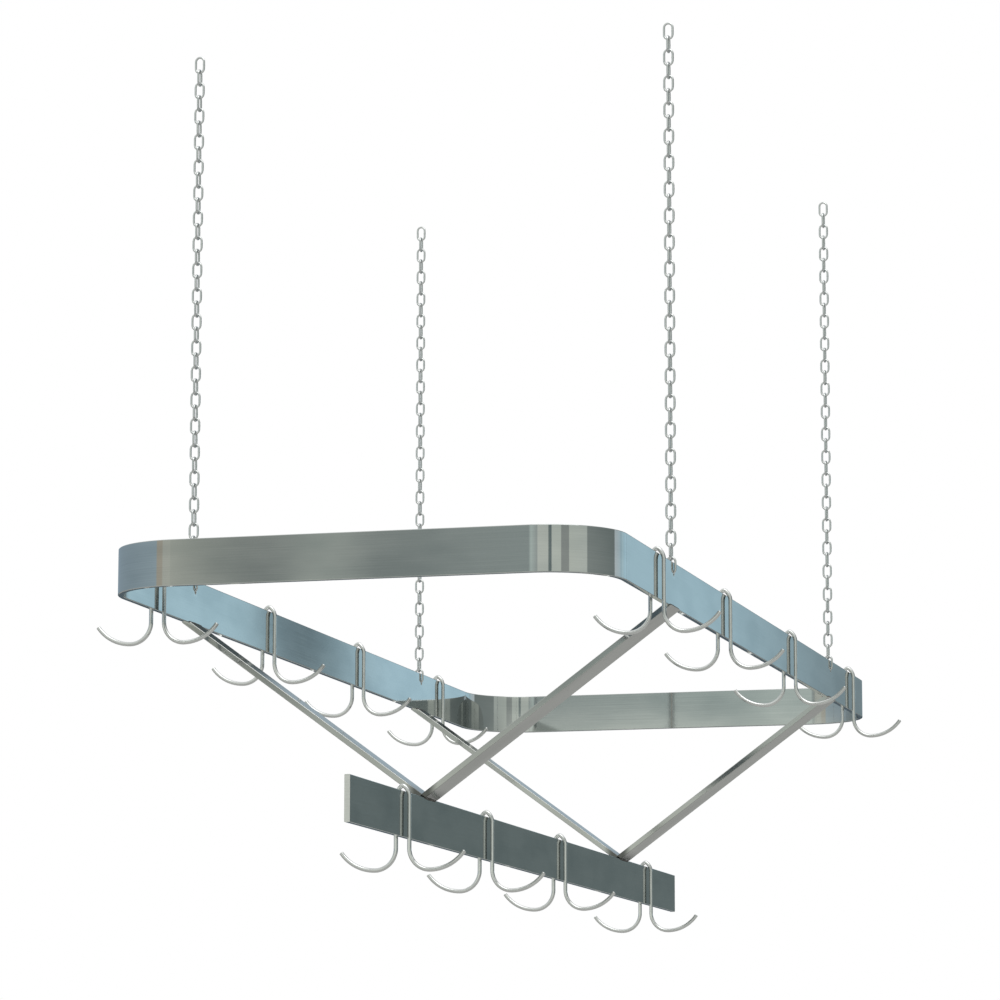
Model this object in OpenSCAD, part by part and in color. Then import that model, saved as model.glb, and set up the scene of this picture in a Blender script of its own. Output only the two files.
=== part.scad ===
// Hanging pot rack: a flat-bar ring on four chains, with a lower centre bar and sliding wire hooks.
// Millimetres. X runs across the rack, Y along it and Z up.
// The origin is level with the bearing point of the four top links, over the middle of the ring.

/* [Flat bar] */
// Height of the flat bar on edge
bar_height = 50.8; // [40:0.1:65]
// Thickness of the flat bar
bar_thickness = 6.35; // [5:0.05:7.5]

/* [Ring] */
// Length of the ring, outside to outside
ring_length = 1524; // [1420:1:1800]
// Width of the ring, outside to outside
ring_width = 571.5; // [450:0.5:750]
// Outer radius of the ring's corners
corner_radius = 86; // [50:1:95]
// Width of the butt weld that closes the ring
ring_weld_width = 1.6; // [1:0.1:4]

/* [Centre bar and braces] */
// Length of the centre bar
centre_bar_length = 1512; // [1360:1:1800]
// Drop from the ring's top edge to the centre bar's top edge
centre_bar_drop = 258; // [190:1:320]
// Distance along the rack between the two pairs of chains and braces
station_spacing = 914.4; // [800:0.1:960]
// Width of a brace, along the rack
brace_width = 44.45; // [25:0.05:60]
// Thickness of a brace
brace_thickness = 6.35; // [5.5:0.05:9]

/* [Hooks] */
// Diameter of the hook wire
hook_wire = 4.8; // [3.5:0.1:6]
// Side clearance between a hook's leg and the bar that it straddles
hook_side_clearance = 2.125; // [1:0.005:4]
// Gap between a hook's bend and the top corners of its bar
hook_seat_gap = 0.3; // [0.2:0.05:0.6]
// Radius of each half of a hook's peaked bend, at the middle of the wire
hook_bend_radius = 15; // [10:0.5:20]
// Length of a hook's legs below the bar, down to the start of the bowls
hook_leg_drop = 12; // [5:0.5:25]
// Radius of the bend from a leg to its bowl's lowest point, at the middle of the wire
bowl_radius = 24; // [18:0.5:36]
// Radius of the flatter bend from a bowl's lowest point up to its tip
lip_radius = 48; // [30:1:60]
// Angle of the flatter bend
lip_angle = 55; // [30:1:70]
// Left side: first and last hook outward from the chains, inner hooks out from the middle
left_hooks = [116, 183, 180, 90];
// Right side: first and last hook outward from the chains, inner hooks out from the middle
right_hooks = [68, 183, 201, 137];
// Centre bar: first and last hook outward from the braces, inner hooks out from the middle
centre_hooks = [95, 212, 130, 136];

/* [Chains] */
// Diameter of the chain wire
link_wire = 2.6; // [2:0.1:3.4]
// Inside length of a link
link_inside_length = 15.7; // [14.5:0.1:18]
// Side clearance between the bottom link and the side band that it straddles
link_side_clearance = 0.525; // [0.4:0.025:1]
// Gap kept between the bearing faces of two links
link_gap = 0.3; // [0.2:0.05:0.4]
// Number of links in a chain, an odd number
links_per_chain = 41; // [11:2:61]
// Height of the last free link above the side band's top edge
edge_clearance = 1.5; // [0.7:0.1:2.5]
// Slack under the bottom link in its hole
hole_play = 1.7; // [1:0.1:2.5]

/* [Hidden] */
$fn = 48;

BAR_COLOUR = "#8d9495";
BRACE_COLOUR = "#868a84";
WELD_COLOUR = "#a3a5a0";
HOOK_COLOUR = "#b4b8b6";
CHAIN_COLOUR = "#9a9d9c";

LEFT = -1;
RIGHT = 1;
NEAR = -1;
FAR = 1;

// Places across and along the rack
bar_half = bar_thickness / 2;
side_x = ring_width / 2 - bar_half;
station_y = station_spacing / 2;

// A link has two straight sides between two half rings
link_inside_width = bar_thickness + 2 * link_side_clearance;
link_bend = (link_inside_width + link_wire) / 2;
link_straight = link_inside_length - link_inside_width;
link_pitch = link_inside_length - link_gap;
link_reach = link_inside_length / 2 + link_wire;

// Heights down a chain, from the top link's bearing point at zero
top_link_z = -link_inside_length / 2;
second_link_z = top_link_z - link_pitch;
bottom_link_z = top_link_z - (links_per_chain - 1) * link_pitch;
last_free_link_z = bottom_link_z + link_pitch;

// The bottom link's lower half ring, where it passes through the side band
lower_bend_z = bottom_link_z - link_straight / 2;
inner_bend = link_inside_width / 2;
seat_depth = sqrt(pow(inner_bend, 2) - pow(bar_half, 2));
hole_diameter = inner_bend + link_wire - seat_depth + link_gap + hole_play;
hole_z = lower_bend_z - seat_depth + link_gap - hole_diameter / 2;

// Heights of the ring and of the centre bar
ring_top_z = last_free_link_z - link_reach - edge_clearance;
ring_bottom_z = ring_top_z - bar_height;
centre_top_z = ring_top_z - centre_bar_drop;

// A brace runs from the middle of the centre bar's top to the middle of the side band's lower edge
brace_rise = ring_bottom_z - centre_top_z;
brace_slope = atan2(brace_rise, side_x);
brace_foot = brace_thickness / 2 / sin(brace_slope);
brace_overhang = brace_foot - bar_half;

// Hook sizes, measured from the top edge of the bar that it sits on
leg_x = bar_half + hook_side_clearance + hook_wire / 2;
bowl_z = -bar_height - hook_leg_drop;
bowl_x = leg_x + bowl_radius;

// Centre of one half of a hook's peaked bend, which clears the bar's top corner by the seat gap
bend_x = leg_x - hook_bend_radius;
seat_radius = hook_bend_radius - hook_wire / 2 - hook_seat_gap;
bend_z = -sqrt(pow(seat_radius, 2) - pow(bar_half - bend_x, 2));

// Stations along the rack of a bar's four hooks
function hook_stations(places) = [
    -station_y - places[0],
    -places[1],
    places[2],
    station_y + places[3]
];

// ---- Ring ----

module rounded_outline(length, width, radius) {
    square([width - 2 * radius, length], center = true);
    square([width, length - 2 * radius], center = true);
    for (x = [LEFT, RIGHT], y = [NEAR, FAR])
        translate([x * (width / 2 - radius), y * (length / 2 - radius)])
            circle(r = radius, $fn = 96);
}

module ring_outline() {
    inner_length = ring_length - 2 * bar_thickness;
    inner_width = ring_width - 2 * bar_thickness;
    difference() {
        rounded_outline(ring_length, ring_width, corner_radius);
        rounded_outline(inner_length, inner_width, corner_radius - bar_thickness);
        translate([-ring_weld_width / 2, ring_length / 2 - 2 * bar_thickness])
            square([ring_weld_width, 3 * bar_thickness]);
    }
}

// The band stands on edge, with a hole for each chain and a gap at the far end for its weld
module ring_band() {
    color(BAR_COLOUR)
        difference() {
            translate([0, 0, ring_bottom_z])
                linear_extrude(bar_height)
                    ring_outline();
            for (x = [LEFT, RIGHT], y = [NEAR, FAR])
                translate([x * side_x, y * station_y, hole_z])
                    rotate([0, 90, 0])
                        cylinder(h = 2 * bar_thickness, d = hole_diameter, center = true);
        }
}

// The butt weld is ground flush with the band
module ring_weld() {
    color(WELD_COLOUR)
        translate([-ring_weld_width / 2, ring_length / 2 - bar_thickness, ring_bottom_z])
            cube([ring_weld_width, bar_thickness, bar_height]);
}

// ---- Centre bar and braces ----

module centre_bar() {
    color(BAR_COLOUR)
        translate([-bar_half, -centre_bar_length / 2, centre_top_z - bar_height])
            cube([bar_thickness, centre_bar_length, bar_height]);
}

// Extrudes a profile drawn in X and Z by a length along Y, about its middle
module across(length) {
    rotate([90, 0, 0])
        linear_extrude(length, center = true)
            children();
}

// Both ends are cut level, and the lower end is mitred against its twin over the centre bar
module brace(side, station) {
    mitre_z = centre_top_z + brace_foot * tan(brace_slope);
    profile = [
        [0, centre_top_z],
        [brace_foot, centre_top_z],
        [side_x + brace_foot, ring_bottom_z],
        [side_x - brace_foot, ring_bottom_z],
        [0, mitre_z]
    ];
    color(BRACE_COLOUR)
        translate([0, station * station_y, 0])
            across(brace_width)
                polygon([for (p = profile) [side * p[0], p[1]]]);
}

module brace_near_left() { brace(LEFT, NEAR); }
module brace_near_right() { brace(RIGHT, NEAR); }
module brace_far_left() { brace(LEFT, FAR); }
module brace_far_right() { brace(RIGHT, FAR); }

// A fillet weld fills the corner between a bar's face and a brace's overhanging end
module fillet_weld(x, z, out, up) {
    translate([x, 0, z])
        across(brace_width)
            polygon([[0, 0], [out * brace_overhang, 0], [0, up * brace_overhang]]);
}

module brace_welds(station) {
    color(WELD_COLOUR)
        translate([0, station * station_y, 0])
            for (side = [LEFT, RIGHT]) {
                fillet_weld(side * bar_half, centre_top_z, side, -1);
                fillet_weld(side * (side_x + bar_half), ring_bottom_z, side, 1);
                fillet_weld(side * (side_x - bar_half), ring_bottom_z, -side, 1);
            }
}

module brace_welds_near() { brace_welds(NEAR); }
module brace_welds_far() { brace_welds(FAR); }

// ---- Hooks ----

// An arc of wire in the XZ plane: from one angle to another, both counted from +X towards +Z
module wire_arc(radius, wire, from, to) {
    rotate([90, 0, 0])
        rotate([0, 0, from])
            rotate_extrude(angle = to - from, $fn = 64)
                translate([radius, 0])
                    circle(d = wire, $fn = 24);
}

// One half of the peaked bend, on the +X side, cut where it meets its twin
module hook_bend() {
    intersection() {
        translate([bend_x, 0, bend_z])
            wire_arc(hook_bend_radius, hook_wire, 0, 90);
        translate([0, -hook_wire, bend_z - hook_wire])
            cube([2 * hook_bend_radius, 2 * hook_wire, 2 * hook_bend_radius]);
    }
}

// One side of a hook, at +X: half of its bend, its leg and its bowl
module hook_prong() {
    hook_bend();
    translate([leg_x, 0, bowl_z])
        cylinder(h = bend_z - bowl_z, d = hook_wire, $fn = 24);
    translate([bowl_x, 0, bowl_z])
        wire_arc(bowl_radius, hook_wire, 180, 270);
    translate([bowl_x, 0, bowl_z - bowl_radius + lip_radius])
        wire_arc(lip_radius, hook_wire, 270, 270 + lip_angle);
}

// A hook straddles its bar, with a peaked bend over the top edge and a bowl on each side
module hook(x, y, top_z) {
    color(HOOK_COLOUR)
        translate([x, y, top_z]) {
            hook_prong();
            mirror([1, 0, 0])
                hook_prong();
        }
}

module hook_left(n) { hook(-side_x, hook_stations(left_hooks)[n], ring_top_z); }
module hook_right(n) { hook(side_x, hook_stations(right_hooks)[n], ring_top_z); }
module hook_centre(n) { hook(0, hook_stations(centre_hooks)[n], centre_top_z); }

// ---- Chains ----

// An oval link about the origin, standing in the XZ plane
module link() {
    half = link_straight / 2;
    for (x = [LEFT, RIGHT])
        translate([x * link_bend, 0, 0])
            cylinder(h = link_straight, d = link_wire, center = true, $fn = 20);
    translate([0, 0, half])
        wire_arc(link_bend, link_wire, 0, 180);
    translate([0, 0, -half])
        wire_arc(link_bend, link_wire, 180, 360);
}

// Puts a link at its height on one chain, turned in line with the rack for every second link
module chain_link(side, station, z, turned = false) {
    color(CHAIN_COLOUR)
        translate([side * side_x, station * station_y, z])
            rotate([0, 0, turned ? 90 : 0])
                link();
}

module top_link(side, station) { chain_link(side, station, top_link_z); }
module second_link(side, station) { chain_link(side, station, second_link_z, true); }
module bottom_link(side, station) { chain_link(side, station, bottom_link_z); }

// The plain links between the second link and the bottom link, which hang in one line
module chain_run(side, station) {
    for (n = [2 : links_per_chain - 2])
        chain_link(side, station, top_link_z - n * link_pitch, n % 2 == 1);
}

// ---- Assembly ----

ring_band();
ring_weld();
centre_bar();
brace_near_left();
brace_near_right();
brace_far_left();
brace_far_right();
brace_welds_near();
brace_welds_far();
hook_left(0);  // hook_left_1
hook_left(1);  // hook_left_2
hook_left(2);  // hook_left_3
hook_left(3);  // hook_left_4
hook_right(0);  // hook_right_1
hook_right(1);  // hook_right_2
hook_right(2);  // hook_right_3
hook_right(3);  // hook_right_4
hook_centre(0);  // hook_centre_1
hook_centre(1);  // hook_centre_2
hook_centre(2);  // hook_centre_3
hook_centre(3);  // hook_centre_4
top_link(LEFT, NEAR);  // top_link_near_left
top_link(RIGHT, NEAR);  // top_link_near_right
top_link(LEFT, FAR);  // top_link_far_left
top_link(RIGHT, FAR);  // top_link_far_right
second_link(LEFT, NEAR);  // second_link_near_left
second_link(RIGHT, NEAR);  // second_link_near_right
second_link(LEFT, FAR);  // second_link_far_left
second_link(RIGHT, FAR);  // second_link_far_right
chain_run(LEFT, NEAR);  // chain_near_left
chain_run(RIGHT, NEAR);  // chain_near_right
chain_run(LEFT, FAR);  // chain_far_left
chain_run(RIGHT, FAR);  // chain_far_right
bottom_link(LEFT, NEAR);  // bottom_link_near_left
bottom_link(RIGHT, NEAR);  // bottom_link_near_right
bottom_link(LEFT, FAR);  // bottom_link_far_left
bottom_link(RIGHT, FAR);  // bottom_link_far_right
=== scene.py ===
"""A hanging pot rack of flat stainless bar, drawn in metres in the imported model's own frame.

X runs across the rack, Y along it from its near end to its far end, and Z up. Zero is the level at which
the top links bear on the ceiling hooks, over the middle of the ring.
"""

from __future__ import annotations

import logging
import math
from collections.abc import Callable
from dataclasses import dataclass, field
from enum import Enum
from functools import partial

import bpy
import numpy as np
from mathutils import Matrix, Vector


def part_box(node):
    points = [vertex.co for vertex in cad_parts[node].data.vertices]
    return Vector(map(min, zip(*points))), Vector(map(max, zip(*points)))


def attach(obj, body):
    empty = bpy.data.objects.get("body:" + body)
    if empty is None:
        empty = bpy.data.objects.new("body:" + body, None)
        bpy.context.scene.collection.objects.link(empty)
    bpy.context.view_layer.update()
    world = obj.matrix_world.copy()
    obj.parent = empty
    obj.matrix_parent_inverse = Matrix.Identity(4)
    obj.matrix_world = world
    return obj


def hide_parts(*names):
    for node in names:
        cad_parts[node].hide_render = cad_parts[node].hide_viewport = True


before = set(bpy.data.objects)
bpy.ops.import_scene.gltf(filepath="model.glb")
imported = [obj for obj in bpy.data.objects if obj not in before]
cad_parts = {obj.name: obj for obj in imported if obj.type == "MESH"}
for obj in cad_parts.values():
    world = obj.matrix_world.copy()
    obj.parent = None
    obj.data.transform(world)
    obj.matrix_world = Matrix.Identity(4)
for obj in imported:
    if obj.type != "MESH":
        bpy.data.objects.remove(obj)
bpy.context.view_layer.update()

LOG = logging.getLogger("pot_rack")

MM = 0.001
X, Y, Z = np.eye(3)

# Sizes that several pieces share: the bar stock, the tops of the ring and the centre bar, and the distance
# from the middle of the rack to a side band (across) and to a pair of chains or braces (along)
BAR_THICKNESS = 6.35 * MM
BAR_HEIGHT = 50.8 * MM
RING_TOP = -620.4 * MM
CENTRE_TOP = -878.4 * MM
SIDE_X = 282.575 * MM
STATION_Y = 457.2 * MM

# Corners are matched on a fine grid: its steps in a metre, and one step in metres
GRID_STEPS, GRID_STEP = 1e8, 1e-8

# Socket numbers of a Mix node that blends two colours
MIX_A, MIX_B, MIX_RESULT = 6, 7, 2

# add_node for one tree, a place in a plane, a bar's section, and cards as azimuths with colours
Adder = Callable[..., bpy.types.Node]
Point = tuple[float, float]
Section = tuple[np.ndarray, np.ndarray, np.ndarray]
Belt = tuple[tuple[float, str], ...]


class Side(Enum):
    """The long side of the rack that a piece belongs to."""

    LEFT = -1
    RIGHT = 1


class Station(Enum):
    """The crosswise line that a chain or a brace hangs on."""

    NEAR = -1
    FAR = 1


# ---- Colour and nodes ----


def linear(code: str) -> tuple[float, float, float, float]:
    """Turns a colour written as sRGB hex into the linear numbers a shader takes.

    Args:
        code: the colour, such as "#c6c8c6".

    Returns:
        Red, green, blue and an alpha of 1.
    """
    channels = np.array([int(code[i : i + 2], 16) for i in (1, 3, 5)]) / 255
    values = np.where(channels <= 0.04045, channels / 12.92, ((channels + 0.055) / 1.055) ** 2.4)
    return (*values.tolist(), 1.0)


def add_node(
    tree: bpy.types.NodeTree, kind: str, settings: dict | None = None, links: dict | None = None
) -> bpy.types.Node:
    """Adds one node with its settings and its incoming links.

    Args:
        tree: the node tree that gets the node.
        kind: the node's type name, such as "ShaderNodeMath".
        settings: values by property name, or by input name or number.
        links: output sockets by input name or number.

    Returns:
        The new node.
    """
    node = tree.nodes.new(kind)
    for key, value in (settings or {}).items():
        if isinstance(key, str) and hasattr(node, key):
            setattr(node, key, value)
        else:
            node.inputs[key].default_value = value
    for key, output in (links or {}).items():
        tree.links.new(output, node.inputs[key])
    return node


def empty_tree(owner: bpy.types.Material | bpy.types.World) -> Adder:
    """Gives a material or world an empty node tree, and returns add_node for that tree."""
    owner.use_nodes = True
    owner.node_tree.nodes.clear()
    return partial(add_node, owner.node_tree)


def noise_span(low: float, high: float) -> dict[str, float]:
    """Map Range settings that take the usual span of a noise, 0.3 to 0.7, to the span from low to high."""
    return {"From Min": 0.3, "From Max": 0.7, "To Min": low, "To Max": high}


# ---- Surfaces ----


@dataclass
class Surface:
    """Patches of one piece, each a grid of points with a normal and a pattern coordinate at every point."""

    corners: list[np.ndarray] = field(default_factory=list)
    normals: list[np.ndarray] = field(default_factory=list)
    pattern: list[np.ndarray] = field(default_factory=list)
    finish: list[np.ndarray] = field(default_factory=list)

    def add(
        self,
        points: np.ndarray,
        normals: np.ndarray,
        pattern: np.ndarray,
        finish: int = 0,
        keep: np.ndarray | None = None,
    ) -> None:
        """Cuts a grid into four-sided faces that point the way its normals do.

        Args:
            points: grid of places, rows by columns by 3, in metres.
            normals: grid of unit normals, of the same shape.
            pattern: grid of distances along and across the piece, rows by columns by 2, in metres.
            finish: number of the material the faces take.
            keep: which cells of the grid become faces; all of them if it is left out.
        """
        packed = np.concatenate([points, normals, pattern], axis=2)
        cells = np.stack([packed[:-1, :-1], packed[:-1, 1:], packed[1:, 1:], packed[1:, :-1]], axis=2)
        cells = cells[keep] if keep is not None else cells.reshape(-1, 4, 8)
        facing = np.cross(cells[:, 2, :3] - cells[:, 0, :3], cells[:, 3, :3] - cells[:, 1, :3])
        if np.einsum("ij,ij->", facing, cells[:, :, 3:6].mean(axis=1)) < 0:
            cells = cells[:, ::-1]
        self.corners.append(cells[:, :, :3])
        self.normals.append(cells[:, :, 3:6])
        self.pattern.append(cells[:, :, 6:])
        self.finish.append(np.full(len(cells), finish))

    def build(self, name: str, materials: list[bpy.types.Material]) -> bpy.types.Object:
        """Joins the patches where their points meet and makes the object.

        Corners within a hundredth of a micrometre become one vertex, and a face whose side shrinks to
        nothing at a pole becomes a triangle.

        Args:
            name: the object's name.
            materials: the finishes, in the order the patches number them.

        Returns:
            The object, standing at the origin.
        """
        corners = np.concatenate(self.corners).reshape(-1, 3)
        keys, index = np.unique(np.round(corners * GRID_STEPS).astype(np.int64), axis=0, return_inverse=True)
        index = index.reshape(-1, 4)
        distinct = index != np.roll(index, -1, axis=1)
        sound = distinct.sum(axis=1) >= 3
        index, distinct = index[sound], distinct[sound]
        ends = np.cumsum(distinct.sum(axis=1))
        faces = np.split(index[distinct], ends[:-1])
        mesh = bpy.data.meshes.new(name)
        mesh.from_pydata(keys * GRID_STEP, [], faces)
        mesh.polygons.foreach_set("use_smooth", np.ones(len(faces), dtype=bool))
        mesh.polygons.foreach_set("material_index", np.concatenate(self.finish)[sound].astype(np.int32))
        layer = mesh.uv_layers.new(name="UVMap")
        pattern = np.concatenate(self.pattern)[sound][distinct]
        layer.data.foreach_set("uv", pattern.astype(np.float32).ravel())
        for material in materials:
            mesh.materials.append(material)
        mesh.normals_split_custom_set(np.concatenate(self.normals)[sound][distinct].tolist())
        mesh.update()
        piece = bpy.data.objects.new(name, mesh)
        bpy.context.scene.collection.objects.link(piece)
        return piece


def place(piece: bpy.types.Object, body: str, slot: str, *nodes: str) -> None:
    """Rides a piece on its body and hides the nodes it stands for.

    Args:
        piece: the finished piece.
        body: the body that carries it.
        slot: the record's material slot; not used.
        nodes: the nodes that it replaces.
    """
    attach(piece, body)
    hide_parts(*nodes)
    LOG.info("%s: %d faces on %s", piece.name, len(piece.data.polygons), body)


def unit(vectors: np.ndarray) -> np.ndarray:
    """Scales the vectors on an array's last axis to length 1."""
    return vectors / np.maximum(np.linalg.norm(vectors, axis=-1, keepdims=True), 1e-12)


def grid_normals(points: np.ndarray) -> np.ndarray:
    """Normals of a grid: the cross product of the differences between neighbouring points each way.

    Args:
        points: grid of places, rows by columns by 3, whose last column repeats the first.

    Returns:
        Unit normals of the same shape.
    """
    along = np.gradient(points, axis=0)
    ring = np.concatenate([points[:, -2:-1], points, points[:, 1:2]], axis=1)
    return unit(np.cross(along, (ring[:, 2:] - ring[:, :-2]) / 2))


# ---- Paths and profiles ----


@dataclass
class Track:
    """A flat path: places and directions of travel, in one plane of two coordinates."""

    places: np.ndarray = field(default_factory=lambda: np.zeros((0, 2)))
    travel: np.ndarray = field(default_factory=lambda: np.zeros((0, 2)))

    def line(self, start: Point, end: Point, marks: np.ndarray | None = None) -> Track:
        """Adds a straight stretch: the start plus a share of the way to the end, one place for each mark."""
        shares = np.array([0.0, 1.0]) if marks is None else marks
        a, b = np.array(start), np.array(end)
        way = np.repeat(unit(b - a)[None], len(shares), axis=0)
        return self.join(a + shares[:, None] * (b - a), way)

    def arc(self, centre: Point, radius: float, start: float, end: float, steps: int) -> Track:
        """Adds an arc: the centre plus the radius times (cos a, sin a), a from start to end in degrees."""
        angle = np.radians(np.linspace(start, end, steps + 1))
        out = np.stack([np.cos(angle), np.sin(angle)], axis=1)
        way = np.stack([-out[:, 1], out[:, 0]], axis=1) * np.sign(end - start)
        return self.join(np.array(centre) + radius * out, way)

    def join(self, places: np.ndarray, travel: np.ndarray) -> Track:
        """Puts new places behind the old ones, and leaves out a first one that repeats the last."""
        if len(self.places) and np.allclose(self.places[-1], places[0], atol=1e-9):
            places, travel = places[1:], travel[1:]
        return Track(np.concatenate([self.places, places]), np.concatenate([self.travel, travel]))

    def distance(self) -> np.ndarray:
        """Running sum of the steps between neighbouring places."""
        return np.concatenate([[0.0], np.cumsum(np.linalg.norm(np.diff(self.places, axis=0), axis=1))])


@dataclass(frozen=True)
class BarProfile:
    """A flat bar's cross section: a rectangle with rolled, slightly rounded edges."""

    thickness: float
    height: float
    edge: float = 0.8 * MM
    steps: int = 3

    def outline(self, levels: np.ndarray | None = None) -> Section:
        """The section's rim, run round once from the lower outer corner up the outer face.

        Each corner is a quarter circle of the edge radius, and the faces between them are straight. The rim
        is drawn in offset (out through the thickness) and height, with its zero in the middle.

        Args:
            levels: extra heights at which both broad faces get a point.

        Returns:
            Points (n by 2), normals (n by 2) and running distance (n); the last point repeats the first.
        """
        t, h, r = self.thickness / 2, self.height / 2, self.edge
        extra = np.array([]) if levels is None else np.sort(levels)
        turn = np.radians(np.linspace(0, 90, self.steps + 1))
        points, normals = [], []
        for start, across, up in ((-90, 1, -1), (0, 1, 1), (90, -1, 1), (180, -1, -1)):
            angle = turn + math.radians(start)
            out = np.stack([np.cos(angle), np.sin(angle)], axis=1)
            points.append(np.array([across * (t - r), up * (h - r)]) + r * out)
            normals.append(out)
            if start == -90 and len(extra):
                points.append(np.stack([np.full(len(extra), t), extra], axis=1))
                normals.append(np.repeat([[1.0, 0.0]], len(extra), axis=0))
            if start == 90 and len(extra):
                points.append(np.stack([np.full(len(extra), -t), extra[::-1]], axis=1))
                normals.append(np.repeat([[-1.0, 0.0]], len(extra), axis=0))
        rim, facing = np.concatenate(points), np.concatenate(normals)
        rim, facing = np.concatenate([rim, rim[:1]]), np.concatenate([facing, facing[:1]])
        run = np.concatenate([[0.0], np.cumsum(np.linalg.norm(np.diff(rim, axis=0), axis=1))])
        return rim, facing, run


def carry_bar(
    surface: Surface, track: Track, section: Section, middle: float, keep: np.ndarray | None = None
) -> None:
    """Carries a bar's section along a level path: path place, plus the offset outwards, plus the height.

    Args:
        surface: the piece that gets the faces.
        track: the path in X and Y, whose outer side is on the left of its travel.
        section: the section's points, normals and running distance.
        middle: height of the section's middle.
        keep: which cells become faces.
    """
    rim, facing, run = section
    out = np.stack([-track.travel[:, 1], track.travel[:, 0], np.zeros(len(track.travel))], axis=1)
    base = np.concatenate([track.places, np.full((len(track.places), 1), middle)], axis=1)
    points = base[:, None] + out[:, None] * rim[None, :, :1] + Z * rim[None, :, 1:]
    normals = out[:, None] * facing[None, :, :1] + Z * facing[None, :, 1:]
    along = np.broadcast_to(track.distance()[:, None], points.shape[:2])
    pattern = np.stack([along, np.broadcast_to(run[None], points.shape[:2])], axis=2)
    surface.add(points, normals, pattern, keep=keep)


def close_bar(surface: Surface, rim: np.ndarray, lift: np.ndarray, facing: np.ndarray, finish: int) -> None:
    """Closes a bar's end with strips between the two halves of its section, point against point.

    Args:
        surface: the piece that gets the faces.
        rim: the section's points, whose halves mirror each other.
        lift: the same points in space, n by 3.
        facing: the end's normal.
        finish: number of the material.
    """
    half = (len(rim) - 1) // 2
    pair = np.stack([lift[:half], lift[half : 2 * half][::-1]])
    flat = np.stack([rim[:half], rim[half : 2 * half][::-1]])
    surface.add(pair, np.broadcast_to(facing, pair.shape), flat, finish)


def carry_wire(
    surface: Surface,
    track: Track,
    radius: np.ndarray | float,
    sides: int,
    plane: tuple[np.ndarray, np.ndarray],
    origin: np.ndarray,
    closed: bool,
    dome: float = 0.0,
) -> None:
    """Carries a circle along a path: place, plus the radius times (path normal cos a, plane normal sin a).

    An open wire ends in domes: rings that move on by the dome's depth times sin b and shrink by cos b.

    Args:
        surface: the piece that gets the faces.
        track: the path in the plane's own two coordinates.
        radius: the wire's radius, or one for each place.
        sides: number of faces round the wire.
        plane: the plane's two directions in space.
        origin: the plane's zero in space.
        closed: whether the end joins the start.
        dome: depth of each end's dome.
    """
    first, second = plane
    across = np.cross(second, first)
    radii = np.broadcast_to(np.asarray(radius, dtype=float), len(track.places)).copy()
    places, travel, run = track.places, track.travel, track.distance()
    lean = np.zeros(len(places))
    if not closed:
        b = np.radians([90.0, 70.0, 45.0, 20.0])
        head = places[0] - travel[0] * (dome * np.sin(b))[:, None]
        tail = places[-1] + travel[-1] * (dome * np.sin(b[::-1]))[:, None]
        places = np.concatenate([head, places, tail])
        count = len(b)
        travel = np.concatenate([np.repeat(travel[:1], count, 0), travel, np.repeat(travel[-1:], count, 0)])
        radii = np.concatenate([radii[0] * np.cos(b), radii, radii[-1] * np.cos(b[::-1])])
        radii[[0, -1]] = 0.0
        lean = np.concatenate([-b, lean, b[::-1]])
        run = np.concatenate([[0.0], np.cumsum(np.linalg.norm(np.diff(places, axis=0), axis=1))])
    a = np.linspace(0, 2 * np.pi, sides + 1)
    inward = np.stack([-travel[:, 1], travel[:, 0]], axis=1)
    inward = inward[:, :1] * first + inward[:, 1:] * second
    forward = travel[:, :1] * first + travel[:, 1:] * second
    ring = inward[:, None] * np.cos(a)[None, :, None] + across * np.sin(a)[None, :, None]
    ring[:, -1] = ring[:, 0]
    middle = places[:, :1] * first + places[:, 1:] * second
    points = origin + middle[:, None] + ring * radii[:, None, None]
    normals = unit(ring * np.cos(lean)[:, None, None] + forward[:, None] * np.sin(lean)[:, None, None])
    around = np.broadcast_to((a * radii.max())[None], points.shape[:2])
    pattern = np.stack([np.broadcast_to(run[:, None], points.shape[:2]), around], axis=2)
    surface.add(points, normals, pattern)


# ---- Finishes ----


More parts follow.
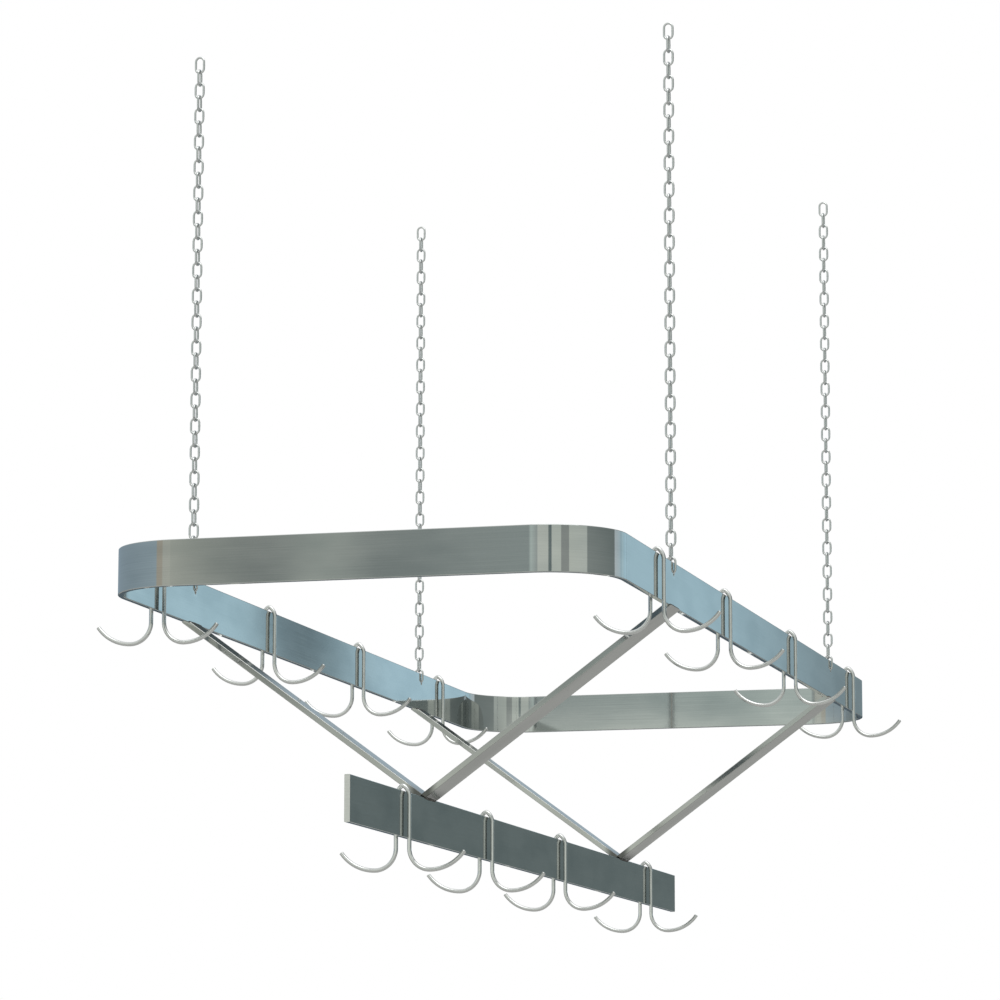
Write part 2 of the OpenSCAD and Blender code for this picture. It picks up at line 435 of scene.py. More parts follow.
@dataclass(frozen=True)
class PolishedBar:
    """Type 304 stainless flat bar with fine lines along it, belt-polished or as the mill rolled it.

    It mirrors the room, almost clearly where it is polished and more dully where it isn't. The lines draw
    each reflection out a little up and down, and faint smoky patches lie where the belt pressed less.
    """

    name: str
    colour: str
    smoke: str
    roughness: float
    anisotropy: float = 0.3
    # Belt lines are near 0.1 mm apart; they are drawn 0.9 mm apart so that they show. All these are in mm
    line_width: float = 0.9
    line_length: float = 140.0
    line_depth: float = 0.004
    # Smoky patches are a hand's width long and nearly as high as the bar, in mm
    patch_length: float = 1000 / 9
    patch_height: float = 500 / 11
    # Heat tint beside a weld, which on the braces is also painted shade where their feet meet in the V: how
    # far it reaches in mm, its strength, and the least Y in metres that has it
    weld_zone: float = 0.0
    weld_tint: float = 0.9
    weld_from: float = -1.0
    tint: str = "#4b4c4a"

    def material(self) -> bpy.types.Material:
        """Builds the node material."""
        material = bpy.data.materials.new(self.name)
        add = empty_tree(material)
        uv = add("ShaderNodeUVMap", {"uv_map": "UVMap"}).outputs["UV"]
        scale = (1 / (self.line_length * MM), 1 / (self.line_width * MM), 1.0)
        lines = add("ShaderNodeMapping", {"Scale": scale}, {"Vector": uv}).outputs["Vector"]
        noise = {"Scale": 1.0, "Detail": 3.0, "Roughness": 0.6}
        grain = add("ShaderNodeTexNoise", noise, {"Vector": lines}).outputs["Fac"]
        scale = (1 / (self.patch_length * MM), 1 / (self.patch_height * MM), 1.0)
        cloud = add("ShaderNodeMapping", {"Scale": scale}, {"Vector": uv}).outputs["Vector"]
        noise = {"Scale": 1.0, "Detail": 2.0, "Roughness": 0.5}
        smoke = add("ShaderNodeTexNoise", noise, {"Vector": cloud}).outputs["Fac"]
        # Below 0.42 the noise leaves the steel clear, and from 0.68 on it is as smoky as it gets
        patch = add("ShaderNodeMapRange", {"From Min": 0.42, "From Max": 0.68}, {"Value": smoke})
        colours = {"data_type": "RGBA", MIX_A: linear(self.colour), MIX_B: linear(self.smoke)}
        tone = add("ShaderNodeMix", colours, {0: patch.outputs["Result"]}).outputs[MIX_RESULT]
        streak = add("ShaderNodeMapRange", noise_span(0.95, 1.04), {"Value": grain}).outputs["Result"]
        shade = add("ShaderNodeVectorMath", {"operation": "SCALE"}, {0: tone, "Scale": streak})
        colour = shade.outputs["Vector"]
        # Heat tint near the middle plane, which on the braces is also painted shade in the V
        if self.weld_zone:
            colour = self.heat_tint(add, colour)
        span = noise_span(self.roughness * 0.85, self.roughness * 1.2)
        gloss = add("ShaderNodeMapRange", span, {"Value": grain})
        relief = {"Strength": 0.35, "Distance": self.line_depth * MM}
        bump = add("ShaderNodeBump", relief, {"Height": grain})
        tangent = add("ShaderNodeTangent", {"direction_type": "UV_MAP", "uv_map": "UVMap"})
        # A quarter turn draws the reflections out across the lines
        shader = add(
            "ShaderNodeBsdfPrincipled",
            {"Metallic": 1.0, "Anisotropic": self.anisotropy, "Anisotropic Rotation": 0.25},
            {
                "Base Color": colour,
                "Roughness": gloss.outputs["Result"],
                "Normal": bump.outputs["Normal"],
                "Tangent": tangent.outputs["Tangent"],
            },
        )
        add("ShaderNodeOutputMaterial", None, {"Surface": shader.outputs["BSDF"]})
        return material

    def heat_tint(self, add: Adder, colour: bpy.types.NodeSocket) -> bpy.types.NodeSocket:
        """Darkens the steel beside the welds in the rack's middle plane, fully within a third of their zone:
        heat tint, and on the braces also painted shade where their feet meet in the V.

        Args:
            add: add_node for the material's tree.
            colour: the steel's colour before this darkening.

        Returns:
            The darkened colour.
        """
        place_in_rack = add("ShaderNodeTexCoord").outputs["Object"]
        parts = add("ShaderNodeSeparateXYZ", None, {"Vector": place_in_rack})
        side = add("ShaderNodeMath", {"operation": "ABSOLUTE"}, {0: parts.outputs["X"]})
        fade = {
            "interpolation_type": "SMOOTHSTEP",
            "From Min": 0.35 * self.weld_zone * MM,
            "From Max": self.weld_zone * MM,
            "To Min": self.weld_tint,
            "To Max": 0.0,
        }
        near = add("ShaderNodeMapRange", fade, {"Value": side.outputs["Value"]}).outputs["Result"]
        limit = {"operation": "GREATER_THAN", 1: self.weld_from}
        inside = add("ShaderNodeMath", limit, {0: parts.outputs["Y"]}).outputs["Value"]
        share = add("ShaderNodeMath", {"operation": "MULTIPLY"}, {0: near, 1: inside}).outputs["Value"]
        tinted = {"data_type": "RGBA", MIX_B: linear(self.tint)}
        return add("ShaderNodeMix", tinted, {0: share, MIX_A: colour}).outputs[MIX_RESULT]


@dataclass(frozen=True)
class CutSteel:
    """Stainless steel as a saw, a grinder or the arc leaves it: duller than the bar, with fine lines."""

    name: str
    colour: str
    shade: str
    roughness: float
    # Saw lines are near 0.2 mm apart; they are drawn 0.8 mm apart or more so that they show
    line_width: float = 0.8
    line_depth: float = 0.03

    def material(self) -> bpy.types.Material:
        """Builds the node material; its lines are ten times as long as they are wide."""
        material = bpy.data.materials.new(self.name)
        add = empty_tree(material)
        place_in_rack = add("ShaderNodeTexCoord").outputs["Object"]
        stretch = 1 / (self.line_width * MM)
        scale = (stretch * 0.1, stretch * 0.1, stretch)
        lines = add("ShaderNodeMapping", {"Scale": scale}, {"Vector": place_in_rack}).outputs["Vector"]
        grain = add("ShaderNodeTexNoise", {"Scale": 1.0, "Detail": 2.0}, {"Vector": lines}).outputs["Fac"]
        colours = {"data_type": "RGBA", MIX_A: linear(self.colour), MIX_B: linear(self.shade)}
        tone = add("ShaderNodeMix", colours, {0: grain}).outputs[MIX_RESULT]
        relief = {"Strength": 0.4, "Distance": self.line_depth * MM}
        bump = add("ShaderNodeBump", relief, {"Height": grain}).outputs["Normal"]
        steel = {"Metallic": 1.0, "Roughness": self.roughness}
        shader = add("ShaderNodeBsdfPrincipled", steel, {"Base Color": tone, "Normal": bump})
        add("ShaderNodeOutputMaterial", None, {"Surface": shader.outputs["BSDF"]})
        return material


@dataclass(frozen=True)
class DrawnWire:
    """Stainless wire drawn through a die and tumbled bright: fine lines along it, and duller patches."""

    name: str
    colour: str
    shade: str
    roughness: float
    patch_size: float = 14.0
    # Die lines are hair-fine; they are drawn 0.6 mm apart so that they show. All these are in mm
    line_width: float = 0.625
    line_length: float = 50 / 3
    line_depth: float = 0.02

    def material(self) -> bpy.types.Material:
        """Builds the node material."""
        material = bpy.data.materials.new(self.name)
        add = empty_tree(material)
        uv = add("ShaderNodeUVMap", {"uv_map": "UVMap"}).outputs["UV"]
        scale = (1 / (self.line_length * MM), 1 / (self.line_width * MM), 1.0)
        lines = add("ShaderNodeMapping", {"Scale": scale}, {"Vector": uv}).outputs["Vector"]
        draw = add("ShaderNodeTexNoise", {"Scale": 1.0, "Detail": 2.0}, {"Vector": lines}).outputs["Fac"]
        place_in_rack = add("ShaderNodeTexCoord").outputs["Object"]
        noise = {"Scale": 1 / (self.patch_size * MM), "Detail": 2.0}
        cloud = add("ShaderNodeTexNoise", noise, {"Vector": place_in_rack}).outputs["Fac"]
        colours = {"data_type": "RGBA", MIX_A: linear(self.colour), MIX_B: linear(self.shade)}
        tone = add("ShaderNodeMix", colours, {0: cloud}).outputs[MIX_RESULT]
        span = noise_span(self.roughness * 0.8, self.roughness * 1.25)
        gloss = add("ShaderNodeMapRange", span, {"Value": cloud}).outputs["Result"]
        relief = {"Strength": 0.3, "Distance": self.line_depth * MM}
        bump = add("ShaderNodeBump", relief, {"Height": draw}).outputs["Normal"]
        looks = {"Base Color": tone, "Roughness": gloss, "Normal": bump}
        shader = add("ShaderNodeBsdfPrincipled", {"Metallic": 1.0}, looks)
        add("ShaderNodeOutputMaterial", None, {"Surface": shader.outputs["BSDF"]})
        return material


@dataclass(frozen=True)
class Finishes:
    """Every finish of the rack, made once and shared by its pieces."""

    ring_bar: bpy.types.Material
    centre_bar: bpy.types.Material
    brace_bar: bpy.types.Material
    brace_edge: bpy.types.Material
    cut: bpy.types.Material
    ground: bpy.types.Material
    weld: bpy.types.Material
    hook_wire: bpy.types.Material
    chain: bpy.types.Material

    @classmethod
    def make(cls) -> Finishes:
        """Mixes each finish from its real steel and treatment."""
        # The ring is tinted only beside its own weld, at the far end
        far_weld = {"weld_zone": 6.0, "weld_tint": 0.3, "weld_from": 0.7}
        ring = PolishedBar("polished_stainless_ring", "#c5c7c5", "#b4b8b7", 0.045, **far_weld)
        centre = PolishedBar("polished_stainless_centre_bar", "#c2c4c2", "#aeb3b2", 0.07)
        # The braces keep the mill's blurry surface on their broad faces, whose grey is partly the mill's and
        # partly painted shade; their edges are smoother and brighter from a painted highlight
        # Both brace finishes darken near the V: heat tint beside the foot welds, and painted shade where the
        # feet meet
        mill_and_shade_faces = PolishedBar("mill_stainless_braces", "#787f76", "#6c736a", 0.14, weld_zone=20.0)
        rolled_highlight_edges = PolishedBar("rolled_stainless_brace_edges", "#b6b7b4", "#a9aaa7", 0.08, weld_zone=20.0)
        return cls(
            ring_bar=ring.material(),
            centre_bar=centre.material(),
            brace_bar=mill_and_shade_faces.material(),
            brace_edge=rolled_highlight_edges.material(),
            # Sawn steel is pale, a weld ground flush is grey, and the arc leaves a bead dark with oxide
            cut=CutSteel("cut_stainless", "#e4e5e1", "#cccdc9", 0.5).material(),
            ground=CutSteel("ground_stainless_weld", "#a5a6a4", "#83807c", 0.32, 1.6).material(),
            weld=CutSteel("oxidised_weld_bead", "#5a5855", "#3c3b39", 0.36, 1.6).material(),
            hook_wire=DrawnWire("bright_drawn_wire", "#dedfdd", "#cdcecd", 0.16).material(),
            # The chain's wire is duller, from its links rubbing together
            chain=DrawnWire("stainless_chain_wire", "#dfe0df", "#c6c9c9", 0.24, 9.0).material(),
        )


# ---- Pieces ----


@dataclass(frozen=True)
class RingBand:
    """The ring: a flat bar on edge, bent to a rounded rectangle and welded in the middle of its far end."""

    width: float = 571.5 * MM
    length: float = 1524.0 * MM
    thickness: float = BAR_THICKNESS
    height: float = BAR_HEIGHT
    corner: float = 86.0 * MM
    top: float = RING_TOP
    gap: float = 1.6 * MM
    # Share of its thickness by which the ground weld is thinner at its middle
    weld_dip: float = 0.012
    station: float = STATION_Y
    hole_radius: float = 3.2 * MM
    hole_height: float = -632.8 * MM
    # The square of faces left out round a hole: half its side, and its cells each way
    hole_cell: float = 6.0 * MM
    cells: int = 6
    chamfer: float = 0.25 * MM
    steps: int = 30

    def path(self) -> tuple[Track, list[int]]:
        """Runs round the middle of the bar from the weld, with short rows at each hole.

        Returns:
            The path, and the first row of each hole's stretch.
        """
        x, y = (self.width - self.thickness) / 2, (self.length - self.thickness) / 2
        r = self.corner - self.thickness / 2
        cell, starts, track = self.hole_cell, [], Track()
        track = track.line((-self.gap / 2, y), (-x + r, y)).arc((-x + r, y - r), r, 90, 180, self.steps)
        for sign, middle in ((-1, -x), (1, x)):
            tall = 2 * (y - r)
            stops = []
            for hole in (self.station, -self.station):
                centre = (y - r) - hole
                starts.append(len(track.places) + len(stops))
                stops.extend(((centre + np.linspace(-cell, cell, self.cells + 1)) / tall).tolist())
            marks = np.array([0.0, *stops, 1.0])
            if sign < 0:
                track = track.line((middle, y - r), (middle, -y + r), marks)
                track = track.arc((-x + r, -y + r), r, 180, 270, self.steps)
                track = track.line((-x + r, -y), (x - r, -y)).arc((x - r, -y + r), r, 270, 360, self.steps)
            else:
                track = track.line((middle, -y + r), (middle, y - r), marks)
        track = track.arc((x - r, y - r), r, 0, 90, self.steps).line((x - r, y), (self.gap / 2, y))
        return track, starts

    def build(self, finishes: Finishes) -> None:
        """Makes the band with its four drilled holes and two sawn ends."""
        track, starts = self.path()
        middle = self.top - self.height / 2
        levels = self.hole_height - middle + np.linspace(-self.hole_cell, self.hole_cell, self.cells + 1)
        section = BarProfile(self.thickness, self.height).outline(levels)
        rim, half = section[0], self.thickness / 2
        turned = Track(track.places, -track.travel)
        keep = np.ones((len(track.places) - 1, len(rim) - 1), dtype=bool)
        outer = np.flatnonzero(np.isclose(rim[:, 0], half) & np.isclose(rim[:, 1], levels[0]))[0]
        inner = np.flatnonzero(np.isclose(rim[:, 0], -half) & np.isclose(rim[:, 1], levels[-1]))[0]
        for row in starts:
            keep[row : row + self.cells, outer : outer + self.cells] = False
            keep[row : row + self.cells, inner : inner + self.cells] = False
        band = Surface()
        carry_bar(band, turned, section, middle, keep)
        for row in starts:
            self.drill(band, track, row, levels + middle)
        for end, way in ((0, X), (-1, -X)):
            out = np.array([-turned.travel[end, 1], turned.travel[end, 0], 0.0])
            lift = np.array([*track.places[end], middle]) + out * rim[:, :1] + Z * rim[:, 1:]
            close_bar(band, rim, lift, way, 1)
        piece = band.build("ring_band_polished", [finishes.ring_bar, finishes.cut])
        place(piece, "rack", "bar_steel", "ring_band")

    def drill(self, band: Surface, track: Track, row: int, heights: np.ndarray) -> None:
        """Fills a left-out square on both faces with rings from its rim to the hole, and lines the hole.

        The square's rim point at angle a goes to the hole's centre plus the hole's radius times
        (cos a, sin a). A small chamfer breaks the hole's edge.

        Args:
            band: the piece that gets the faces.
            track: the ring's path.
            row: the path's row at which the square starts.
            heights: the heights of the square's cells.
        """
        rows = track.places[row : row + self.cells + 1, 1]
        x = float(track.places[row, 0])
        square = np.stack(np.meshgrid(rows, heights, indexing="ij"), axis=2)
        rim = np.concatenate([square[0, :-1], square[:-1, -1], square[-1, :0:-1], square[::-1, 0]])
        centre = np.array([(rows[0] + rows[-1]) / 2, self.hole_height])
        out = unit(rim - centre)
        wide = centre + (self.hole_radius + self.chamfer) * out
        bore = centre + self.hole_radius * out
        column = np.ones((len(rim), 1))
        for side in (-1, 1):
            face = x + side * self.thickness / 2
            deep = face - side * self.chamfer
            flat, edge = np.stack([rim, wide]), np.stack([wide, bore])
            points = np.concatenate([np.stack([face * column, face * column]), flat], axis=2)
            band.add(points, np.broadcast_to(X * side, points.shape), flat)
            points = np.concatenate([np.stack([face * column, deep * column]), edge], axis=2)
            lean = unit(np.concatenate([side * column, -out], axis=1))
            band.add(points, np.stack([lean, lean]), edge, 1)
        left, right = x + np.array([-1, 1]) * (self.thickness / 2 - self.chamfer)
        wall = np.stack([bore, bore])
        points = np.concatenate([np.stack([left * column, right * column]), wall], axis=2)
        inward = np.concatenate([0.0 * column, -out], axis=1)
        band.add(points, np.stack([inward, inward]), wall, 1)

    def weld(self, finishes: Finishes) -> None:
        """Makes the ground butt weld: the bar's section carried across the gap, thinner at its middle."""
        rim, facing, run = BarProfile(self.thickness, self.height).outline()
        share = np.linspace(-1, 1, 9)
        middle = np.array([0.0, (self.length - self.thickness) / 2, self.top - self.height / 2])
        centre = middle + X * (share * self.gap / 2)[:, None]
        shrink = 1 - self.weld_dip * (1 - share**2)
        points = centre[:, None] + Y * (rim[None, :, :1] * shrink[:, None, None]) + Z * rim[None, :, 1:]
        normals = np.broadcast_to(Y * facing[:, :1] + Z * facing[:, 1:], points.shape)
        along = np.broadcast_to(centre[:, :1], points.shape[:2])
        pattern = np.stack([along, np.broadcast_to(run, points.shape[:2])], axis=2)
        seam = Surface()
        seam.add(points, normals, pattern)
        close_bar(seam, rim, points[0], -X, 0)
        close_bar(seam, rim, points[-1], X, 0)
        place(seam.build("ring_weld_ground", [finishes.ground]), "rack", "weld_steel", "ring_weld")


@dataclass(frozen=True)
class CentreBar:
    """The straight bar under the middle of the ring, sawn square at both ends."""

    length: float = 1512.0 * MM
    thickness: float = BAR_THICKNESS
    height: float = BAR_HEIGHT
    top: float = CENTRE_TOP

    def build(self, finishes: Finishes) -> None:
        """Makes the bar: its section carried straight along Y."""
        section = BarProfile(self.thickness, self.height).outline()
        rim = section[0]
        half, middle = self.length / 2, self.top - self.height / 2
        track = Track().line((0.0, half), (0.0, -half), np.linspace(0, 1, 9))
        bar = Surface()
        carry_bar(bar, track, section, middle)
        for end, way in ((half, Y), (-half, -Y)):
            lift = np.array([0.0, end, middle]) + X * rim[:, :1] + Z * rim[:, 1:]
            close_bar(bar, rim, lift, way, 1)
        piece = bar.build("centre_bar_polished", [finishes.centre_bar, finishes.cut])
        place(piece, "rack", "bar_steel", "centre_bar")


@dataclass(frozen=True)
class Braces:
    """Four flat bars in two V pairs, cut level under the ring and mitred over the centre bar, with welds."""

    width: float = 44.45 * MM
    thickness: float = BAR_THICKNESS
    edge: float = 0.7 * MM
    side_x: float = SIDE_X
    ring_bottom: float = -671.2 * MM
    centre_top: float = CENTRE_TOP
    station: float = STATION_Y
    bar_half: float = 3.175 * MM
    bead_leg: float = 2.25 * MM
    bead_rows: int = 97
    # How full a bead is in its middle, how abruptly it ends, and how far on each bead's ripples start
    bead_bulge: float = 0.55
    bead_taper: int = 14
    bead_phase: float = 0.7
    # A bead's ripples and its slower wander: their length along the bead, and their share of its size
    ripple: float = 1.9 * MM
    ripple_depth: float = 0.16
    wander: float = 5.3 * MM
    wander_depth: float = 0.05

    def slope(self) -> float:
        """Slope of a brace in radians: from the centre bar's top to a side band's lower edge."""
        return math.atan2(self.ring_bottom - self.centre_top, self.side_x)

    def brace(self, side: Side, station: Station, finishes: Finishes) -> None:
        """Makes one brace: lines along the slope through each point of its section, trimmed by the cuts.

        Each line starts where it meets the level foot or the mitre plane, whichever comes later, and ends
        at the ring's lower edge.

        Args:
            side: the long side that the brace belongs to.
            station: the crosswise line that it stands on.
            finishes: the rack's finishes.
        """
        a = self.slope()
        # The section lies flat: its height is the brace's width along Y, and its offset is the thickness
        rim, facing, run = BarProfile(self.thickness, self.width, self.edge).outline()
        way = np.array([side.value * math.cos(a), 0.0, math.sin(a)])
        up = np.array([-side.value * math.sin(a), 0.0, math.cos(a)])
        anchor = np.array([side.value * self.side_x, station.value * self.station, self.ring_bottom])
        lines = anchor + up * rim[:, :1] + Y * rim[:, 1:]
        top = (self.ring_bottom - lines[:, 2]) / way[2]
        mitre = -lines[:, 0] / way[0]
        foot = (self.centre_top - lines[:, 2]) / way[2]
        low = np.maximum(mitre, foot)
        share = np.linspace(0, 1, 7)[:, None]
        reach = low + (top - low) * share
        points = lines[None] + way * reach[..., None]
        normals = np.broadcast_to(up * facing[:, :1] + Y * facing[:, 1:], points.shape)
        pattern = np.stack([reach, np.broadcast_to(run, reach.shape)], axis=2)
        bar = Surface()
        # The narrow faces are brighter than the broad ones: the edges carry a painted highlight, and the
        # broad faces painted shade over the mill's grey
        rolled_highlight_edges = np.minimum(np.abs(rim[:-1, 1]), np.abs(rim[1:, 1])) > self.width / 2 - self.edge * 1.01
        rolled_highlight_edges = np.broadcast_to(rolled_highlight_edges, (len(points) - 1, len(rolled_highlight_edges)))
        bar.add(points, normals, pattern, keep=~rolled_highlight_edges)
        bar.add(points, normals, pattern, 2, keep=rolled_highlight_edges)
        close_bar(bar, rim, points[-1], Z, 1)
        close_bar(bar, rim, points[0], -Z, 1)
        name = f"{station.name.lower()}_{side.name.lower()}"
        piece = bar.build(f"brace_{name}_bar", [finishes.brace_bar, finishes.cut, finishes.brace_edge])
        place(piece, "rack", "brace_steel", f"brace_{name}")

    def bead(self, surface: Surface, corner: Point, out: int, up: int, y: float, seed: int) -> None:
        """Adds one fillet bead: a bulged quarter round carried along Y, rippled every couple of millimetres.

        Its rim point at angle a lies at the corner plus R times (cos a, sin a), where R is the leg times a
        rounding that bulges the middle, times the ripple (1 less a small share of the sine's absolute
        value), times an end taper.

        Args:
            surface: the piece that gets the faces.
            corner: the corner's X and Z.
            out: the way in X in which the bead lies, as a sign.
            up: the way in Z, as a sign.
            y: the middle of the bead's run.
            seed: number of the bead, which sets where its ripples start.
        """
        share = np.linspace(-1, 1, self.bead_rows)
        run = share * self.width / 2
        a = np.radians(np.linspace(0, 90, 8))
        phase = self.bead_phase * seed
        wander = 1 + self.wander_depth * np.sin(run / self.wander + phase)
        ripple = wander * (1 - self.ripple_depth * np.abs(np.sin(np.pi * run / self.ripple + phase)))
        taper = np.sqrt(np.clip(1 - np.abs(share) ** self.bead_taper, 0, 1))
        bulge = 1 / (np.cos(a) + np.sin(a)) ** self.bead_bulge
        radius = self.bead_leg * (ripple * taper)[:, None] * bulge[None]
        fan = np.stack([radius * np.cos(a), radius * np.sin(a)], axis=2)
        fan = np.concatenate([fan, np.zeros((self.bead_rows, 1, 2)), fan[:, :1]], axis=1)
        along = y + np.broadcast_to(run[:, None], fan.shape[:2])
        points = np.stack([corner[0] + out * fan[..., 0], along, corner[1] + up * fan[..., 1]], axis=2)
        normals = grid_normals(points) * (-out * up)
        around = np.linspace(0, self.bead_leg * 1.6, fan.shape[1])
        pattern = np.stack([points[..., 1], np.broadcast_to(around, fan.shape[:2])], axis=2)
        surface.add(points, normals, pattern)

    def welds(self, station: Station, finishes: Finishes) -> None:
        """Makes a pair's six beads: two under the feet and four where the tops meet the ring's faces."""
        beads = Surface()
        y = station.value * self.station
        for number, side in enumerate((-1, 1)):
            corners = (
                (self.bar_half, self.centre_top, side, -1),
                (self.side_x + self.bar_half, self.ring_bottom, side, 1),
                (self.side_x - self.bar_half, self.ring_bottom, -side, 1),
            )
            for order, (x, height, out, up) in enumerate(corners):
                self.bead(beads, (side * x, height), out, up, y, len(corners) * number + order)
        name = station.name.lower()
        piece = beads.build(f"brace_beads_{name}", [finishes.weld])
        place(piece, "rack", "weld_steel", f"brace_welds_{name}")

    def build(self, finishes: Finishes) -> None:
        """Makes both V pairs and their beads."""
        for station in Station:
            for side in Side:
                self.brace(side, station, finishes)
            self.welds(station, finishes)


@dataclass(frozen=True)
class Hooks:
    """Double hooks of round wire: a peaked bend over the bar, and a leg, a bowl and a lip at each side."""

    side_x: float = SIDE_X
    ring_top: float = RING_TOP
    centre_top: float = CENTRE_TOP
    per_row: int = 4
    # The wire's path, from the middle of the top of the bar that the hook hangs on
    wire: float = 4.8 * MM
    leg_x: float = 7.7 * MM
    bend_radius: float = 15.0 * MM
    bend_height: float = -6.447 * MM
    crown_radius: float = 2.8 * MM
    bowl_height: float = -62.8 * MM
    bowl_x: float = 31.7 * MM
    bowl_radius: float = 24.0 * MM
    lip_radius: float = 48.0 * MM
    lip_angle: float = 55.0
    sides: int = 14
    dome: float = 0.9 * MM

    def path(self) -> Track:
        """Runs from the left tip, down its lip and bowl, up the leg, over the bend and down the right twin.

        The crown is an arc about the middle that lies inside both halves of the bend and touches them.
        """
        lip_height = self.bowl_height - self.bowl_radius + self.lip_radius
        trim = math.degrees(self.dome / self.lip_radius)
        bend_x = self.leg_x - self.bend_radius
        touch = math.degrees(math.acos(-bend_x / (self.bend_radius - self.crown_radius)))
        crown_height = self.bend_height - bend_x * math.tan(math.radians(touch))
        half = Track().arc((0.0, crown_height), self.crown_radius, 90, touch, 5)
        half = half.arc((bend_x, self.bend_height), self.bend_radius, touch, 0, 9)
        half = half.line((self.leg_x, self.bend_height), (self.leg_x, self.bowl_height))
        half = half.arc((self.bowl_x, self.bowl_height), self.bowl_radius, 180, 270, 14)
        half = half.arc((self.bowl_x, lip_height), self.lip_radius, 270, 270 + self.lip_angle - trim, 12)
        flip = Track(half.places[::-1] * [-1, 1], half.travel[::-1] * [1, -1])
        return flip.join(half.places, half.travel)

    def build(self, finishes: Finishes) -> None:
        """Makes each hook where its node stands, on the body that slides with it."""
        track = self.path()
        rows = (
            ("left", -self.side_x, self.ring_top),
            ("right", self.side_x, self.ring_top),
            ("centre", 0.0, self.centre_top),
        )
        for row, x, top in rows:
            for number in range(1, self.per_row + 1):
                name = f"hook_{row}_{number}"
                low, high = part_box(name)
                origin = np.array([x, (low[1] + high[1]) / 2, top])
                wire = Surface()
                carry_wire(wire, track, self.wire / 2, self.sides, (X, Z), origin, False, self.dome)
                place(wire.build(f"{name}_wire", [finishes.hook_wire]), f"{name}_body", "hook_wire", name)


@dataclass(frozen=True)
class Chains:
    """Four chains of welded oval links, which hang in one line with every second link turned."""

    wire: float = 2.6 * MM
    bend: float = 5.0 * MM
    straight: float = 8.3 * MM
    pitch: float = 15.4 * MM
    # Height of the top link's middle, with its eye resting on the ceiling hook at zero
    first: float = -7.85 * MM
    count: int = 41
    side_x: float = SIDE_X
    station: float = STATION_Y
    # Each link is a little fuller at its weld, by a share of the wire, over a short length
    swell: float = 0.1
    swell_length: float = 1.1 * MM

    def link(self, surface: Surface, side: Side, station: Station, number: int, fine: bool) -> None:
        """Adds one link: a circle carried round an oval of two half circles and two straights.

        The wire's radius is the drawn one times (1 plus the swell times a bell curve about the middle of
        one straight, where the weld is).

        Args:
            surface: the piece that gets the faces.
            side: the long side that the chain hangs over.
            station: the crosswise line that it hangs on.
            number: the link's number from the top, counted from 0.
            fine: whether it gets the finer mesh.
        """
        half = self.straight / 2
        steps, sides = (10, 10) if fine else (6, 6)
        # The welded straight has extra places round its middle, and only it lies this far out
        marks = np.array([0.0, 0.32, 0.5, 0.68, 1.0])
        track = Track().line((self.bend, -half), (self.bend, half), marks)
        track = track.arc((0.0, half), self.bend, 0, 180, steps)
        track = track.line((-self.bend, half), (-self.bend, -half))
        track = track.arc((0.0, -half), self.bend, 180, 360, steps)
        bell = np.exp(-((track.places[:, 1] / self.swell_length) ** 2))
        welded = track.places[:, 0] > self.bend * 0.99
        radius = self.wire / 2 * (1 + self.swell * (bell * welded))
        axes = (X, Z) if number % 2 == 0 else (Y, Z)
        height = self.first - number * self.pitch
        origin = np.array([side.value * self.side_x, station.value * self.station, height])
        carry_wire(surface, track, radius, sides, axes, origin, True)

    def build(self, finishes: Finishes) -> None:
        """Makes each chain's top link, second link, run of plain links and bottom link."""
        last = self.count - 1
        groups = (
            ("top_link", range(0, 1), "ceiling_links"),
            ("second_link", range(1, 2), "second_link_body_{}"),
            ("chain", range(2, last), "chain_body_{}"),
            ("bottom_link", range(last, last + 1), "bottom_link_body_{}"),
        )
        for station in Station:
            for side in Side:
                corner = f"{station.name.lower()}_{side.name.lower()}"
                for node, numbers, body in groups:
                    links = Surface()
                    for number in numbers:
                        self.link(links, side, station, number, len(numbers) == 1)
                    piece = links.build(f"{node}_{corner}_wire", [finishes.chain])
                    place(piece, body.format(corner), "chain_steel", f"{node}_{corner}")


# ---- Studio ----


@dataclass(frozen=True)
class PhotoCamera:
    """The camera below the rack's near right corner, which looks up along it."""

    place: tuple[float, float, float] = (1.3318, -4.9637, -1.3077)
    # Turned from the rack's length, tipped and rolled, in degrees
    azimuth: float = 15.473
    elevation: float = -9.308
    roll: float = 0.086
    # The lens and the sensor's width, in mm
    lens: float = 150.65
    sensor: float = 36.0
    reach: float = 100.0

    def build(self) -> None:
        """Adds the camera and makes it the scene's own."""
        azimuth, elevation, roll = (math.radians(v) for v in (self.azimuth, self.elevation, self.roll))
        level = Vector((math.cos(azimuth), math.sin(azimuth), 0.0))
        flat = math.cos(elevation)
        back = Vector((math.sin(azimuth) * flat, -math.cos(azimuth) * flat, math.sin(elevation)))
        above = back.cross(level)
        right = level * math.cos(roll) + above * math.sin(roll)
        up = above * math.cos(roll) - level * math.sin(roll)
        data = bpy.data.cameras.new("photo_camera")
        data.lens, data.sensor_width, data.clip_end = self.lens, self.sensor, self.reach
        camera = bpy.data.objects.new("photo_camera", data)
        turn = Matrix((right, up, back)).transposed().to_4x4()
        camera.matrix_world = Matrix.Translation(self.place) @ turn
        bpy.context.scene.collection.objects.link(camera)
        bpy.context.scene.camera = camera


